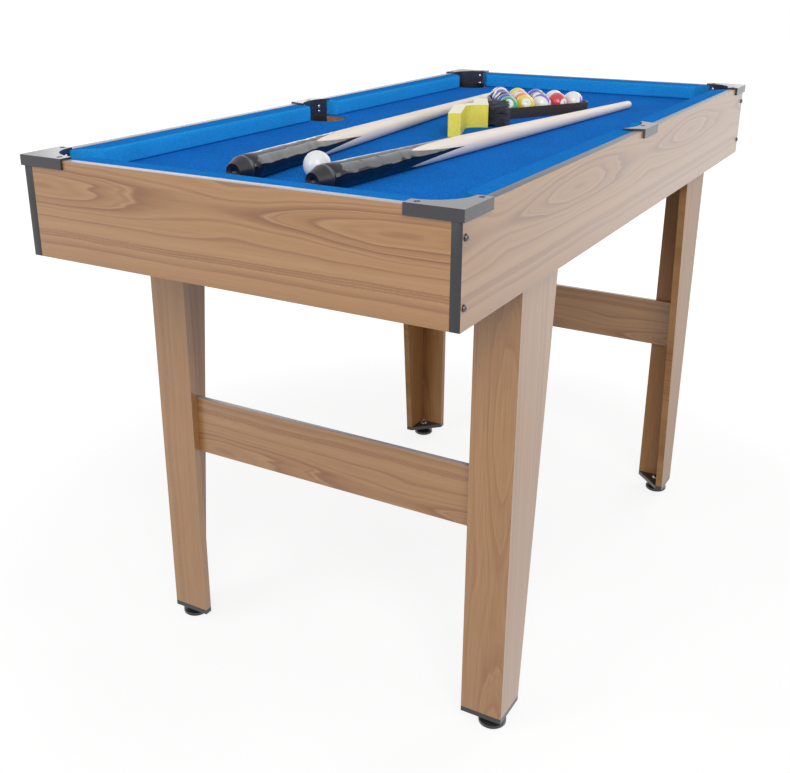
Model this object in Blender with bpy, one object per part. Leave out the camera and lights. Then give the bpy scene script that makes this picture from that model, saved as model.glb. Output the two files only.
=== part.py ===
"""Mini billiard table: cloth-covered bed in a four-panel apron, drop pockets, L-section legs, play set.

Metres, Z up.  The floor is z = 0, the table is centred on X and Y, its length runs along Y,
and the end with the butts of the cues is at -Y.
"""

import math

import bmesh
import bpy
from mathutils import Vector

# Overall size, measured over the pocket caps
TABLE_LENGTH = 1.220
TABLE_WIDTH = 0.600
TABLE_HEIGHT = 0.770

# Gap left between pieces that touch, and the running gap of a stud in its bore
CLEAR = 0.0003
BORE_CLEAR = 0.0001

# Apron panels
PANEL_THICK = 0.012
PANEL_HEIGHT = 0.1235
GROOVE_DEPTH = 0.005

# Bed, its cloth and the stiffener under it
BED_THICK = 0.009
CLOTH_THICK = 0.001
BED_DEPTH = 0.025
STIFFENER_WIDTH = 0.040
STIFFENER_THICK = 0.015

# Cushions: width of the top, rounding of the nose, and where they are cut back at the pockets:
# the end cushions and the long ones at the corners, then the long ones at the middle pockets
CUSHION_WIDTH = 0.0302
NOSE_ROUND = 0.004
END_NOSE_CUT = 0.038
END_BACK_CUT = 0.0475
LONG_NOSE_CUT = 0.050
LONG_BACK_CUT = 0.0485
SIDE_NOSE_CUT = 0.042
SIDE_BACK_CUT = 0.0365

# Pocket mouldings: cap plate, skirt, curved liner and catch cup
CAP_PLATE = 0.0027
CAP_SKIRT = 0.0027
CAP_DEPTH = 0.0132
CAP_LIP = 0.0005
CORNER_ARM = 0.0678
CORNER_LINER_R = 0.0487
CORNER_LINER_MID_DEG = 43.5
CORNER_LINER_HALF_DEG = 40.0
SIDE_CAP_FACE = 0.062
SIDE_CAP_HORNS = 0.081
SIDE_LINER_R = 0.0788
SIDE_LINER_HALF_DEG = 27.0
LINER_WALL = 0.0025
CUP_R = 0.0295
CUP_WALL = 0.0025
CUP_HEIGHT = 0.075
HOLE_CLEAR = 0.0005
STRAP_TOP = 0.003
STRAP_BITE = 0.005
STRAP_SLIM = 0.0003
CORNER_STRAP_HALF_DEG = 72.0
SIDE_STRAP_HALF_DEG = 60.0

# Legs, stretchers, foot plates and levelling feet
LEG_THICK = 0.012
LEG_END_WIDTH = 0.060
LEG_SIDE_FOOT_WIDTH = 0.060
LEG_SIDE_TOP_WIDTH = 0.113
LEG_SET_BACK = 0.190
LEG_FOOT_Z = 0.0244
STRETCHER_HEIGHT = 0.0865
STRETCHER_THICK = 0.008
STRETCHER_Z = 0.3015
PLATE_THICK = 0.0072
PLATE_EDGE = 0.012
FOOT_INSET = 0.021
FOOT_R = 0.0195
FOOT_NECK_R = 0.0075
FOOT_RIM = 0.0045
FOOT_BEVEL = 0.0018
STUD_R = 0.0039
STUD_LENGTH = 0.0075

# Play set on the cloth: the cues and the cue ball lie by the front end, the rack and the brush by the back
BALL_R = 0.01725
BALL_GAP = 0.0003
RACK_ROWS = 5
RACK_X = 0.0065
RACK_FROM_BACK = 0.3233
RACK_WALL = 0.0022
RACK_HEIGHT = 0.0175
RACK_CORNER_R = 0.015
RACK_CLEAR = 0.0012
CUE_BALL_X = 0.0216
CUE_BALL_FROM_FRONT = 0.1685
CUE_LENGTH = 0.883
CUE_BUTT_R = 0.0163
CUE_TIP_R = 0.0065
BUMPER_LENGTH = 0.0235
BUMPER_COLLAR = 0.007
BUMPER_END_R = 0.010
BUMPER_DISH_R = 0.0086
BUMPER_DISH_DEPTH = 0.0012
BUMPER_SOCKET_R = 0.0042
BUMPER_SOCKET_DEPTH = 0.0045
BUMPER_PIN_R = 0.0029
BUMPER_PIN_LENGTH = 0.011
CUE_FROM_FRONT = 0.1102
CUE_LEFT_X = -0.0445
CUE_LEFT_TURN_DEG = 4.75
CUE_RIGHT_X = 0.0705
CUE_RIGHT_TURN_DEG = -5.02

# Brush: handle outline across and along, then its bristles
BRUSH_X = 0.0127
BRUSH_FROM_BACK = 0.6837
BRUSH_TURN_DEG = 26.0
BRUSH_THICK = 0.035
BRUSH_LENGTH = 0.182
GRIP_WIDTH = 0.0195
GRIP_LENGTH = 0.097
GRIP_LEAN = 0.0085
HEAD_BACK = 0.040
HEAD_WIDTH = 0.023
HEAD_LENGTH = 0.083
BRUSH_COVE_R = 0.020
BRUSH_EDGE_R = 0.0015
BRISTLE_MARGIN = 0.003
BRISTLE_SEAT = 0.002
BRISTLE_LENGTH = 0.031
BRISTLE_ROWS = 14
BRISTLE_COLUMNS = 22
BRISTLE_R = 0.00075
BRISTLE_SPLAY = 0.10
BRISTLE_STRAY = 0.0003

# Facets round a full turn
CUP_FACETS = 32
FOOT_FACETS = 24
CUE_FACETS = 20
BALL_FACETS = 16
BALL_RINGS = 9
LINER_FACETS = 10
STRAP_FACETS = 12

# Places that follow from the sizes above
panel_x = TABLE_WIDTH / 2 - CAP_SKIRT - CLEAR
panel_y = TABLE_LENGTH / 2 - CAP_SKIRT - CLEAR
inner_x = panel_x - PANEL_THICK
inner_y = panel_y - PANEL_THICK
rail_top = TABLE_HEIGHT - CAP_PLATE - CLEAR
panel_low = rail_top - PANEL_HEIGHT
cloth_top = rail_top - BED_DEPTH
bed_top = cloth_top - CLOTH_THICK - CLEAR
bed_low = bed_top - BED_THICK
play_z = cloth_top + CLEAR
nose_x = inner_x - CLEAR - CUSHION_WIDTH
nose_y = inner_y - CLEAR - CUSHION_WIDTH
bed_x = inner_x + GROOVE_DEPTH - 2 * CLEAR
bed_y = inner_y + GROOVE_DEPTH - 2 * CLEAR
hole_r = CUP_R + CUP_WALL + HOLE_CLEAR
leg_x = inner_x - CLEAR
leg_y = panel_y - LEG_SET_BACK
leg_top = bed_low - CLEAR
strap_r = CUP_R + STRAP_SLIM
corner_x = inner_x - CLEAR - LINER_WALL - CORNER_LINER_R
corner_y = inner_y - CLEAR - LINER_WALL - CORNER_LINER_R
cup_step = (CORNER_LINER_R - STRAP_SLIM - strap_r) / math.sqrt(2)
corner_cup = (corner_x + cup_step, corner_y + cup_step)
side_x = inner_x - CLEAR - LINER_WALL - SIDE_LINER_R
side_cup = (side_x + SIDE_LINER_R - STRAP_SLIM - strap_r, 0.0)
foot_x = leg_x - FOOT_INSET
foot_y = leg_y - FOOT_INSET
front_end = -TABLE_LENGTH / 2
back_end = TABLE_LENGTH / 2
plate_z = LEG_FOOT_Z - CLEAR - PLATE_THICK

for old in list(bpy.data.objects):
    bpy.data.objects.remove(old, do_unlink=True)

table = bpy.data.collections.new("mini_billiard_table")
bpy.context.scene.collection.children.link(table)
tools = bpy.data.collections.new("tools")
bpy.context.scene.collection.children.link(tools)


def material(name, colour, roughness):
    made = bpy.data.materials.new(name)
    made.use_nodes = True
    shader = made.node_tree.nodes["Principled BSDF"]
    shader.inputs["Base Color"].default_value = (*colour, 1.0)
    shader.inputs["Roughness"].default_value = roughness
    return made


def finish(bm, name, colour=None, roughness=0.5, place=(0, 0, 0), turn=(0, 0, 0)):
    """Close a mesh into an object: a coloured piece of the table, or a plain tool when it has no colour."""
    bmesh.ops.recalc_face_normals(bm, faces=bm.faces)
    mesh = bpy.data.meshes.new(name)
    bm.to_mesh(mesh)
    bm.free()
    made = bpy.data.objects.new(name, mesh)
    made.location = place
    made.rotation_euler = turn
    if colour is None:
        tools.objects.link(made)
        made.hide_render = True
        made.display_type = "WIRE"
    else:
        table.objects.link(made)
        mesh.materials.append(material(name, colour, roughness))
    return made


def combine(piece, tool, operation):
    step = piece.modifiers.new(operation.lower(), "BOOLEAN")
    step.operation = operation
    step.solver = "EXACT"
    step.object = tool


def prism(outline, z0, z1):
    """A flat outline in X and Y, raised from z0 to z1."""
    bm = bmesh.new()
    face = bm.faces.new([bm.verts.new((x, y, z0)) for x, y in outline])
    raised = bmesh.ops.extrude_face_region(bm, geom=[face])["geom"]
    top = [item for item in raised if isinstance(item, bmesh.types.BMVert)]
    bmesh.ops.translate(bm, verts=top, vec=(0, 0, z1 - z0))
    return bm


def block(x0, x1, y0, y1, z0, z1):
    return prism([(x0, y0), (x1, y0), (x1, y1), (x0, y1)], z0, z1)


def turned(profile, facets):
    """A profile of (radius, height) pairs that starts and ends on the axis, turned about Z."""
    bm = bmesh.new()
    points = [bm.verts.new((r, 0, z)) for r, z in profile]
    edges = [bm.edges.new(pair) for pair in zip(points, points[1:])]
    bmesh.ops.spin(bm, geom=points + edges, cent=(0, 0, 0), axis=(0, 0, 1), angle=2 * math.pi,
                   steps=facets, use_merge=True)
    bmesh.ops.remove_doubles(bm, verts=bm.verts, dist=1e-6)
    return bm


def arc(centre, radius, start, end, steps):
    """Points on an arc, with its angles in degrees."""
    angles = [math.radians(start + (end - start) * i / steps) for i in range(steps + 1)]
    return [(centre[0] + radius * math.cos(a), centre[1] + radius * math.sin(a)) for a in angles]


def bent_strip(centre, r0, r1, middle, half, steps):
    """The outline of a wall between two radii, half degrees to each side of the middle angle."""
    outer = arc(centre, r1, middle - half, middle + half, steps)
    inner = arc(centre, r0, middle + half, middle - half, steps)
    return outer + inner


def filleted(corners, steps=5):
    """An outline from (x, y, radius) corners, each rounded by its own radius."""
    outline = []
    for i, (x, y, radius) in enumerate(corners):
        here = Vector((x, y))
        back = (Vector(corners[i - 1][:2]) - here).normalized()
        ahead = (Vector(corners[(i + 1) % len(corners)][:2]) - here).normalized()
        half = back.angle(ahead) / 2
        middle = here + (back + ahead).normalized() * radius / math.sin(half)
        first = here + back * radius / math.tan(half) - middle
        last = here + ahead * radius / math.tan(half) - middle
        sweep = first.angle_signed(last)
        for k in range(steps + 1):
            a = -sweep * k / steps
            spot = middle + Vector((first.x * math.cos(a) - first.y * math.sin(a),
                                    first.x * math.sin(a) + first.y * math.cos(a)))
            outline.append((spot.x, spot.y))
    return outline


def drilled(piece, spots, z0, z1, radius, facets):
    """Round holes through a piece."""
    for i, (x, y) in enumerate(spots):
        bm = bmesh.new()
        bmesh.ops.create_cone(bm, cap_ends=True, segments=facets, radius1=radius, radius2=radius,
                              depth=z1 - z0)
        bmesh.ops.translate(bm, verts=bm.verts, vec=(x, y, (z0 + z1) / 2))
        combine(piece, finish(bm, f"{piece.name}_drill_{i}"), "DIFFERENCE")


WOOD = (0.42, 0.27, 0.16)
BOARD = (0.50, 0.30, 0.14)
CLOTH = (0.01, 0.12, 0.46)
PLASTIC = (0.06, 0.06, 0.065)
ENDS = (("front", -1), ("back", 1))
SIDES = (("left", -1), ("right", 1))

pocket_spots = [(sx * corner_cup[0], sy * corner_cup[1]) for sx in (-1, 1) for sy in (-1, 1)]
pocket_spots += [(sx * side_cup[0], 0.0) for sx in (-1, 1)]

# Bed and cloth: drilled for the six pockets, edges held in the panel grooves
bed = finish(block(-bed_x, bed_x, -bed_y, bed_y, bed_low, bed_top), "bed_board", BOARD, 0.8)
drilled(bed, pocket_spots, bed_low - 0.01, bed_top + 0.01, hole_r, CUP_FACETS)
cloth = finish(block(-bed_x, bed_x, -bed_y, bed_y, bed_top + CLEAR, cloth_top), "bed_cloth", CLOTH, 0.9)
drilled(cloth, pocket_spots, bed_top - 0.01, cloth_top + 0.01, hole_r, CUP_FACETS)
finish(block(-STIFFENER_WIDTH / 2, STIFFENER_WIDTH / 2, -inner_y + CLEAR, inner_y - CLEAR,
             bed_low - CLEAR - STIFFENER_THICK, bed_low - CLEAR), "bed_stiffener", BOARD, 0.8)

# Apron: the side panels run the full length, the end panels stand between them
groove_x = inner_x + GROOVE_DEPTH
groove_y = inner_y + GROOVE_DEPTH
for side, sx in SIDES:
    panel = finish(block(*sorted((sx * inner_x, sx * panel_x)), -panel_y, panel_y, panel_low, rail_top),
                   f"side_panel_{side}", WOOD)
    groove = finish(block(-groove_x, groove_x, -groove_y, groove_y, bed_low - CLEAR, cloth_top + CLEAR),
                    f"groove_{side}")
    combine(panel, groove, "DIFFERENCE")
for end, sy in ENDS:
    panel = finish(block(-inner_x + CLEAR, inner_x - CLEAR, *sorted((sy * inner_y, sy * panel_y)),
                         panel_low, rail_top), f"end_panel_{end}", WOOD)
    groove = finish(block(-panel_x, panel_x, -groove_y, groove_y, bed_low - CLEAR, cloth_top + CLEAR),
                    f"groove_{end}")
    combine(panel, groove, "DIFFERENCE")


def cushion(name, outline):
    """A rail cushion: mitred outline with its nose first, rounded along the top of the nose."""
    bm = prism(outline, play_z, rail_top)
    nose = [Vector((*spot, rail_top)) for spot in outline[:2]]
    edge = [e for e in bm.edges if all(min((v.co - n).length for n in nose) < 1e-6 for v in e.verts)]
    bmesh.ops.bevel(bm, geom=edge, offset=NOSE_ROUND, segments=3, profile=0.5, affect="EDGES")
    finish(bm, name, CLOTH, 0.9)


back_x = inner_x - CLEAR
back_y = inner_y - CLEAR
for end, sy in ENDS:
    cushion(f"cushion_{end}", [(-nose_x + END_NOSE_CUT, sy * nose_y),
                               (nose_x - END_NOSE_CUT, sy * nose_y),
                               (inner_x - END_BACK_CUT, sy * back_y),
                               (END_BACK_CUT - inner_x, sy * back_y)])
    for side, sx in SIDES:
        cushion(f"cushion_{side}_{end}", [(sx * nose_x, sy * SIDE_NOSE_CUT),
                                          (sx * nose_x, sy * (nose_y - LONG_NOSE_CUT)),
                                          (sx * back_x, sy * (inner_y - LONG_BACK_CUT)),
                                          (sx * back_x, sy * SIDE_BACK_CUT)])


def pocket(name, cap_outline, skirt_tool, liner_outline, strap_outline, cup_spot):
    """One moulding: cap plate with its skirt, curved liner down to the cloth, strap and catch cup."""
    made = finish(prism(cap_outline, TABLE_HEIGHT - CAP_DEPTH, TABLE_HEIGHT), name, PLASTIC)
    combine(made, finish(skirt_tool, f"{name}_hollow"), "DIFFERENCE")
    liner = prism(liner_outline, play_z, TABLE_HEIGHT - CAP_PLATE / 2)
    combine(made, finish(liner, f"{name}_liner"), "UNION")
    strap = prism(strap_outline, bed_low - STRAP_BITE, cloth_top + STRAP_TOP)
    combine(made, finish(strap, f"{name}_strap"), "UNION")
    rim = bed_low - CLEAR
    floor = rim - CUP_HEIGHT
    cup = turned([(0, floor), (CUP_R, floor), (CUP_R, rim), (CUP_R + CUP_WALL, rim),
                  (CUP_R + CUP_WALL, floor - CUP_WALL), (0, floor - CUP_WALL)], CUP_FACETS)
    combine(made, finish(cup, f"{name}_cup", place=(*cup_spot, 0)), "UNION")


strap_out = CUP_R + CUP_WALL - STRAP_SLIM
for side, sx in SIDES:
    for end, sy in ENDS:
        cap = [(TABLE_WIDTH / 2, TABLE_LENGTH / 2), (TABLE_WIDTH / 2 - CORNER_ARM, TABLE_LENGTH / 2)]
        lip = arc((corner_x, corner_y), CORNER_LINER_R - CAP_LIP, 90, 0, LINER_FACETS)
        cap += [(cap[1][0], lip[0][1])] + lip
        cap += [(lip[-1][0], TABLE_LENGTH / 2 - CORNER_ARM), (TABLE_WIDTH / 2, TABLE_LENGTH / 2 - CORNER_ARM)]
        liner = bent_strip((corner_x, corner_y), CORNER_LINER_R, CORNER_LINER_R + LINER_WALL,
                           CORNER_LINER_MID_DEG, CORNER_LINER_HALF_DEG, LINER_FACETS)
        strap = bent_strip(corner_cup, strap_r, strap_out, 45, CORNER_STRAP_HALF_DEG, STRAP_FACETS)
        low = TABLE_HEIGHT - 2 * CAP_DEPTH
        hollow = block(*sorted((0, sx * (panel_x + CLEAR))), *sorted((0, sy * (panel_y + CLEAR))),
                       low, rail_top + CLEAR)
        pocket(f"pocket_{side}_{end}", [(sx * x, sy * y) for x, y in cap], hollow,
               [(sx * x, sy * y) for x, y in liner], [(sx * x, sy * y) for x, y in strap],
               (sx * corner_cup[0], sy * corner_cup[1]))
    horn_deg = math.degrees(math.asin(SIDE_CAP_HORNS / 2 / (SIDE_LINER_R - CAP_LIP)))
    cap = [(TABLE_WIDTH / 2, -SIDE_CAP_FACE / 2), (TABLE_WIDTH / 2, SIDE_CAP_FACE / 2)]
    cap += arc((side_x, 0), SIDE_LINER_R - CAP_LIP, horn_deg, -horn_deg, LINER_FACETS)
    liner = bent_strip((side_x, 0), SIDE_LINER_R, SIDE_LINER_R + LINER_WALL, 0, SIDE_LINER_HALF_DEG,
                       LINER_FACETS)
    strap = bent_strip(side_cup, strap_r, strap_out, 0, SIDE_STRAP_HALF_DEG, STRAP_FACETS)
    hollow = block(*sorted((0, sx * (panel_x + CLEAR))), -SIDE_CAP_HORNS, SIDE_CAP_HORNS,
                   TABLE_HEIGHT - 2 * CAP_DEPTH, rail_top + CLEAR)
    pocket(f"pocket_{side}_middle", [(sx * x, y) for x, y in cap], hollow, [(sx * x, y) for x, y in liner],
           [(sx * x, y) for x, y in strap], (sx * side_cup[0], 0))

# Legs: two boards mitred along the outer corner, the side board widening from foot to apron
mitre_gap = CLEAR * math.sqrt(2)
for side, sx in SIDES:
    for end, sy in ENDS:
        plan = [(leg_x, leg_y), (leg_x - LEG_END_WIDTH, leg_y), (leg_x - LEG_END_WIDTH, leg_y - LEG_THICK),
                (leg_x - LEG_THICK, leg_y - LEG_THICK)]
        finish(prism([(sx * x, sy * y) for x, y in plan], LEG_FOOT_Z, leg_top), f"leg_end_{side}_{end}", WOOD)
        tall = leg_y - mitre_gap
        profile = [(tall, LEG_FOOT_Z), (tall, leg_top), (leg_y - LEG_SIDE_TOP_WIDTH, leg_top),
                   (leg_y - LEG_SIDE_TOP_WIDTH, panel_low), (leg_y - LEG_SIDE_FOOT_WIDTH, LEG_FOOT_Z)]
        bm = prism(profile, leg_x - LEG_THICK, leg_x)
        for vert in bm.verts:
            y, z, x = vert.co
            if x < leg_x - LEG_THICK / 2 and y > tall - LEG_THICK / 2:
                y -= LEG_THICK
            vert.co = (sx * x, sy * y, z)
        finish(bm, f"leg_side_{side}_{end}", WOOD)
        corner = [(0, 0), (LEG_END_WIDTH, 0), (LEG_END_WIDTH, PLATE_EDGE), (PLATE_EDGE, LEG_SIDE_FOOT_WIDTH),
                  (0, LEG_SIDE_FOOT_WIDTH)]
        outline = [(sx * (leg_x - x), sy * (leg_y - y)) for x, y in corner]
        plate = finish(prism(outline, plate_z, plate_z + PLATE_THICK), f"foot_plate_{side}_{end}", PLASTIC)
        spot = (sx * foot_x, sy * foot_y)
        drilled(plate, [spot], plate_z - 0.01, plate_z + PLATE_THICK + 0.01, STUD_R + BORE_CLEAR, FOOT_FACETS)
        neck = plate_z - CLEAR
        foot = turned([(0, neck + STUD_LENGTH), (STUD_R, neck + STUD_LENGTH), (STUD_R, neck),
                       (FOOT_NECK_R, neck), (FOOT_NECK_R, neck - FOOT_RIM), (FOOT_R, FOOT_RIM + FOOT_BEVEL),
                       (FOOT_R, FOOT_BEVEL), (FOOT_R - FOOT_BEVEL, 0), (0, 0)], FOOT_FACETS)
        finish(foot, f"levelling_foot_{side}_{end}", PLASTIC, place=(*spot, 0))
for end, sy in ENDS:
    face = leg_y - LEG_THICK - CLEAR
    reach = leg_x - LEG_THICK - CLEAR
    finish(block(-reach, reach, *sorted((sy * (face - STRETCHER_THICK), sy * face)), STRETCHER_Z,
                 STRETCHER_Z + STRETCHER_HEIGHT), f"stretcher_{end}", WOOD)

# Cues: straight taper lying on the cloth, rubber bumper pinned into the butt
cue_lean = math.asin((CUE_BUTT_R - CUE_TIP_R) / CUE_LENGTH)
for side, x, turn in (("left", CUE_LEFT_X, CUE_LEFT_TURN_DEG), ("right", CUE_RIGHT_X, CUE_RIGHT_TURN_DEG)):
    place = (x, front_end + CUE_FROM_FRONT, play_z + CUE_BUTT_R * math.cos(cue_lean))
    lay = (-math.pi / 2 - cue_lean, 0, math.radians(turn))
    shaft = turned([(0, BUMPER_PIN_LENGTH + CLEAR), (BUMPER_PIN_R + CLEAR, BUMPER_PIN_LENGTH + CLEAR),
                    (BUMPER_PIN_R + CLEAR, 0), (CUE_BUTT_R, 0), (CUE_TIP_R, CUE_LENGTH - CUE_TIP_R / 2),
                    (CUE_TIP_R * 0.8, CUE_LENGTH - CUE_TIP_R / 5), (CUE_TIP_R / 2, CUE_LENGTH),
                    (0, CUE_LENGTH)], CUE_FACETS)
    finish(shaft, f"cue_{side}", (0.75, 0.66, 0.56), place=place, turn=lay)
    seat = CUE_BUTT_R - CLEAR
    bumper = turned([(0, BUMPER_PIN_LENGTH), (BUMPER_PIN_R, BUMPER_PIN_LENGTH), (BUMPER_PIN_R, -CLEAR),
                     (seat, -CLEAR), (seat, -BUMPER_COLLAR), (BUMPER_END_R, -BUMPER_LENGTH),
                     (BUMPER_DISH_R, -BUMPER_LENGTH), (BUMPER_DISH_R, BUMPER_DISH_DEPTH - BUMPER_LENGTH),
                     (BUMPER_SOCKET_R, BUMPER_DISH_DEPTH - BUMPER_LENGTH),
                     (BUMPER_SOCKET_R, BUMPER_SOCKET_DEPTH - BUMPER_LENGTH),
                     (0, BUMPER_SOCKET_DEPTH - BUMPER_LENGTH)], CUE_FACETS)
    finish(bumper, f"cue_bumper_{side}", (0.05, 0.05, 0.055), place=place, turn=lay)

# Balls: the cue ball, and five rows in the rack with the point towards the front
BALL_COLOURS = ((0.02, 0.36, 0.14), (0.78, 0.60, 0.05), (0.05, 0.08, 0.45), (0.66, 0.04, 0.05),
                (0.20, 0.06, 0.32), (0.72, 0.25, 0.04), (0.30, 0.03, 0.05), (0.02, 0.02, 0.02))


def ball(name, x, y, colour):
    bm = bmesh.new()
    bmesh.ops.create_uvsphere(bm, u_segments=BALL_FACETS, v_segments=BALL_RINGS, radius=BALL_R)
    finish(bm, name, colour, 0.15, place=(x, y, play_z + BALL_R))


ball("cue_ball", CUE_BALL_X, front_end + CUE_BALL_FROM_FRONT, (0.85, 0.85, 0.85))
pitch = 2 * BALL_R + BALL_GAP
row_step = pitch * math.sin(math.radians(60))
rack_y = back_end - RACK_FROM_BACK
count = 0
for row in range(RACK_ROWS):
    for place in range(row + 1):
        count += 1
        ball(f"ball_{count:02d}", RACK_X + (place - row / 2) * pitch,
             rack_y - (RACK_ROWS - 1 - row) * row_step, BALL_COLOURS[count % len(BALL_COLOURS)])

# Rack: a wall of one thickness set off from the corner balls, with rounded corners
half_base = (RACK_ROWS - 1) * pitch / 2
corners = ((RACK_X, rack_y - (RACK_ROWS - 1) * row_step, 270), (RACK_X + half_base, rack_y, 30),
           (RACK_X - half_base, rack_y, 150))


def round_triangle(offset, radius):
    outline = []
    for x, y, way in corners:
        reach = 2 * (offset - radius)
        middle = (x + reach * math.cos(math.radians(way)), y + reach * math.sin(math.radians(way)))
        outline += arc(middle, radius, way - 60, way + 60, 8)
    return outline


inside = BALL_R + RACK_CLEAR
rack = finish(prism(round_triangle(inside + RACK_WALL, RACK_CORNER_R), play_z, play_z + RACK_HEIGHT), "rack",
              (0.04, 0.03, 0.03), 0.4)
opening = finish(prism(round_triangle(inside, RACK_CORNER_R - RACK_WALL), play_z - RACK_WALL,
                       play_z + RACK_HEIGHT + RACK_WALL), "rack_opening")
combine(rack, opening, "DIFFERENCE")

# Brush: offset handle lying on its side, with a seat cut in the head for the bristle strip
head_face = HEAD_BACK + HEAD_WIDTH
head_start = BRUSH_LENGTH - HEAD_LENGTH
neck = GRIP_LEAN + GRIP_WIDTH
handle = filleted([(0, 0, BRUSH_EDGE_R), (GRIP_WIDTH, 0, BRUSH_EDGE_R), (neck, head_start, BRUSH_COVE_R),
                   (head_face, head_start, BRUSH_EDGE_R), (head_face, BRUSH_LENGTH, BRUSH_EDGE_R),
                   (HEAD_BACK, BRUSH_LENGTH, BRUSH_EDGE_R), (HEAD_BACK, head_start + neck, BRUSH_COVE_R / 2),
                   (GRIP_LEAN * GRIP_LENGTH / head_start + CLEAR, GRIP_LENGTH, BRUSH_COVE_R)])
brush_place = (BRUSH_X, back_end - BRUSH_FROM_BACK, play_z)
brush_turn = (0, 0, math.radians(BRUSH_TURN_DEG))
brush = finish(prism(handle, 0, BRUSH_THICK), "brush_handle", (0.72, 0.62, 0.12), place=brush_place,
               turn=brush_turn)
seat_y = (head_start + BRISTLE_MARGIN, BRUSH_LENGTH - BRISTLE_MARGIN)
seat_z = (BRISTLE_MARGIN, BRUSH_THICK - BRISTLE_MARGIN)
seat = block(head_face - BRISTLE_SEAT, head_face + BRISTLE_SEAT, *seat_y, *seat_z)
combine(brush, finish(seat, "brush_seat", place=brush_place, turn=brush_turn), "DIFFERENCE")

# Bristles: one three-sided strand standing on each cell of the strip
strip_y = (seat_y[0] + CLEAR, seat_y[1] - CLEAR)
strip_z = (seat_z[0] + CLEAR, seat_z[1] - CLEAR)
cell_y = (strip_y[1] - strip_y[0]) / BRISTLE_COLUMNS
cell_z = (strip_z[1] - strip_z[0]) / BRISTLE_ROWS
bm = bmesh.new()
grid = {}
for i in range(BRISTLE_COLUMNS + 1):
    for k in range(BRISTLE_ROWS + 1):
        grid[i, k] = bm.verts.new((head_face, strip_y[0] + i * cell_y, strip_z[0] + k * cell_z))
middle = Vector((0, sum(strip_y) / 2, sum(strip_z) / 2))
for i in range(BRISTLE_COLUMNS):
    for k in range(BRISTLE_ROWS):
        cell = [grid[i, k], grid[i + 1, k], grid[i + 1, k + 1], grid[i, k + 1]]
        root = sum((v.co for v in cell), Vector()) / 4
        stray = Vector((0, math.sin(7.3 * i + 3.1 * k), math.sin(4.7 * i + 5.9 * k))) * BRISTLE_STRAY
        tip = root + (root - middle) * Vector((0, BRISTLE_SPLAY, BRISTLE_SPLAY)) + stray
        tip.x = head_face + BRISTLE_LENGTH * (1 - 0.06 * (1 + math.sin(2.9 * i + 8.3 * k)))
        turn = [math.radians(a) for a in (225, 345, 105)]
        low = [bm.verts.new(root + Vector((0, math.cos(a), math.sin(a))) * BRISTLE_R) for a in turn]
        high = [bm.verts.new(tip + Vector((0, math.cos(a), math.sin(a))) * BRISTLE_R * 0.7) for a in turn]
        bm.faces.new((cell[0], cell[1], low[1], low[0]))
        bm.faces.new((cell[1], cell[2], low[1]))
        bm.faces.new((cell[2], cell[3], low[2], low[1]))
        bm.faces.new((cell[3], cell[0], low[0], low[2]))
        for a in range(3):
            b = (a + 1) % 3
            bm.faces.new((low[a], low[b], high[b], high[a]))
        bm.faces.new(high)
rim = [edge for edge in bm.edges if edge.is_boundary]
rear = bmesh.ops.extrude_edge_only(bm, edges=rim)["geom"]
rear = [item for item in rear if isinstance(item, bmesh.types.BMVert)]
bmesh.ops.translate(bm, verts=rear, vec=(CLEAR - BRISTLE_SEAT, 0, 0))
bmesh.ops.holes_fill(bm, edges=[edge for edge in bm.edges if edge.is_boundary], sides=0)
finish(bm, "brush_bristles", (0.02, 0.02, 0.02), 0.8, place=brush_place, turn=brush_turn)
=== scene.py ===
import math
import random

import bmesh
import bpy
from mathutils import Euler, Matrix, Vector


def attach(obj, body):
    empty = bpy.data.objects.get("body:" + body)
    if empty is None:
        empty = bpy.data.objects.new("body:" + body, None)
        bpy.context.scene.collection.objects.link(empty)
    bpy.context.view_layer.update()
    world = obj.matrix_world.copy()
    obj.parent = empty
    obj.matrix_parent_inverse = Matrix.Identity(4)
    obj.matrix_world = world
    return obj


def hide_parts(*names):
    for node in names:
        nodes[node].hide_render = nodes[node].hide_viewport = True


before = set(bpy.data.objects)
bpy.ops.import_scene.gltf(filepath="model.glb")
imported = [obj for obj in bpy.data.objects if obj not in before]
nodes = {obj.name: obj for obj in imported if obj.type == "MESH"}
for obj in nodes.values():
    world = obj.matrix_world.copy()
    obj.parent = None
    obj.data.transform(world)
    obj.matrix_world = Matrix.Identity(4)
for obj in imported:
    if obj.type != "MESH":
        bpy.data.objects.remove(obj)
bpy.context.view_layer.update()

# Axis numbers, and the names and signs of the two sides and the two ends
X, Y, Z = range(3)
SIDES = (("left", -1), ("right", 1))
ENDS = (("front", -1), ("back", 1))

# Sizes that the solids were made with, in metres
INNER_X, INNER_Y = 0.285, 0.595
PANEL_X, PANEL_Y = 0.297, 0.607
PANEL_LOW, RAIL_TOP, CAP_TOP = 0.6435, 0.767, 0.770
PLAY_Z, CLOTH_TOP, CLOTH_LOW = 0.7423, 0.742, 0.7411
BED_X, BED_Y = 0.2894, 0.5994
NOSE_X, NOSE_Y = 0.2545, 0.5645
BACK_X, BACK_Y = 0.2847, 0.5947
HOLE_R = 0.0325
CORNER_CUP = (0.24665, 0.55665)
SIDE_CUP = 0.2521
STRETCHER_HALF, STRETCHER_OUT, STRETCHER_IN, STRETCHER_TOP = 0.272, 0.4047, 0.3967, 0.388
FOOT_X, FOOT_Y, PLATE_TOP = 0.2637, 0.396, 0.0242
BALL_R, BALL_PITCH = 0.01725, 0.0348

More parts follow.
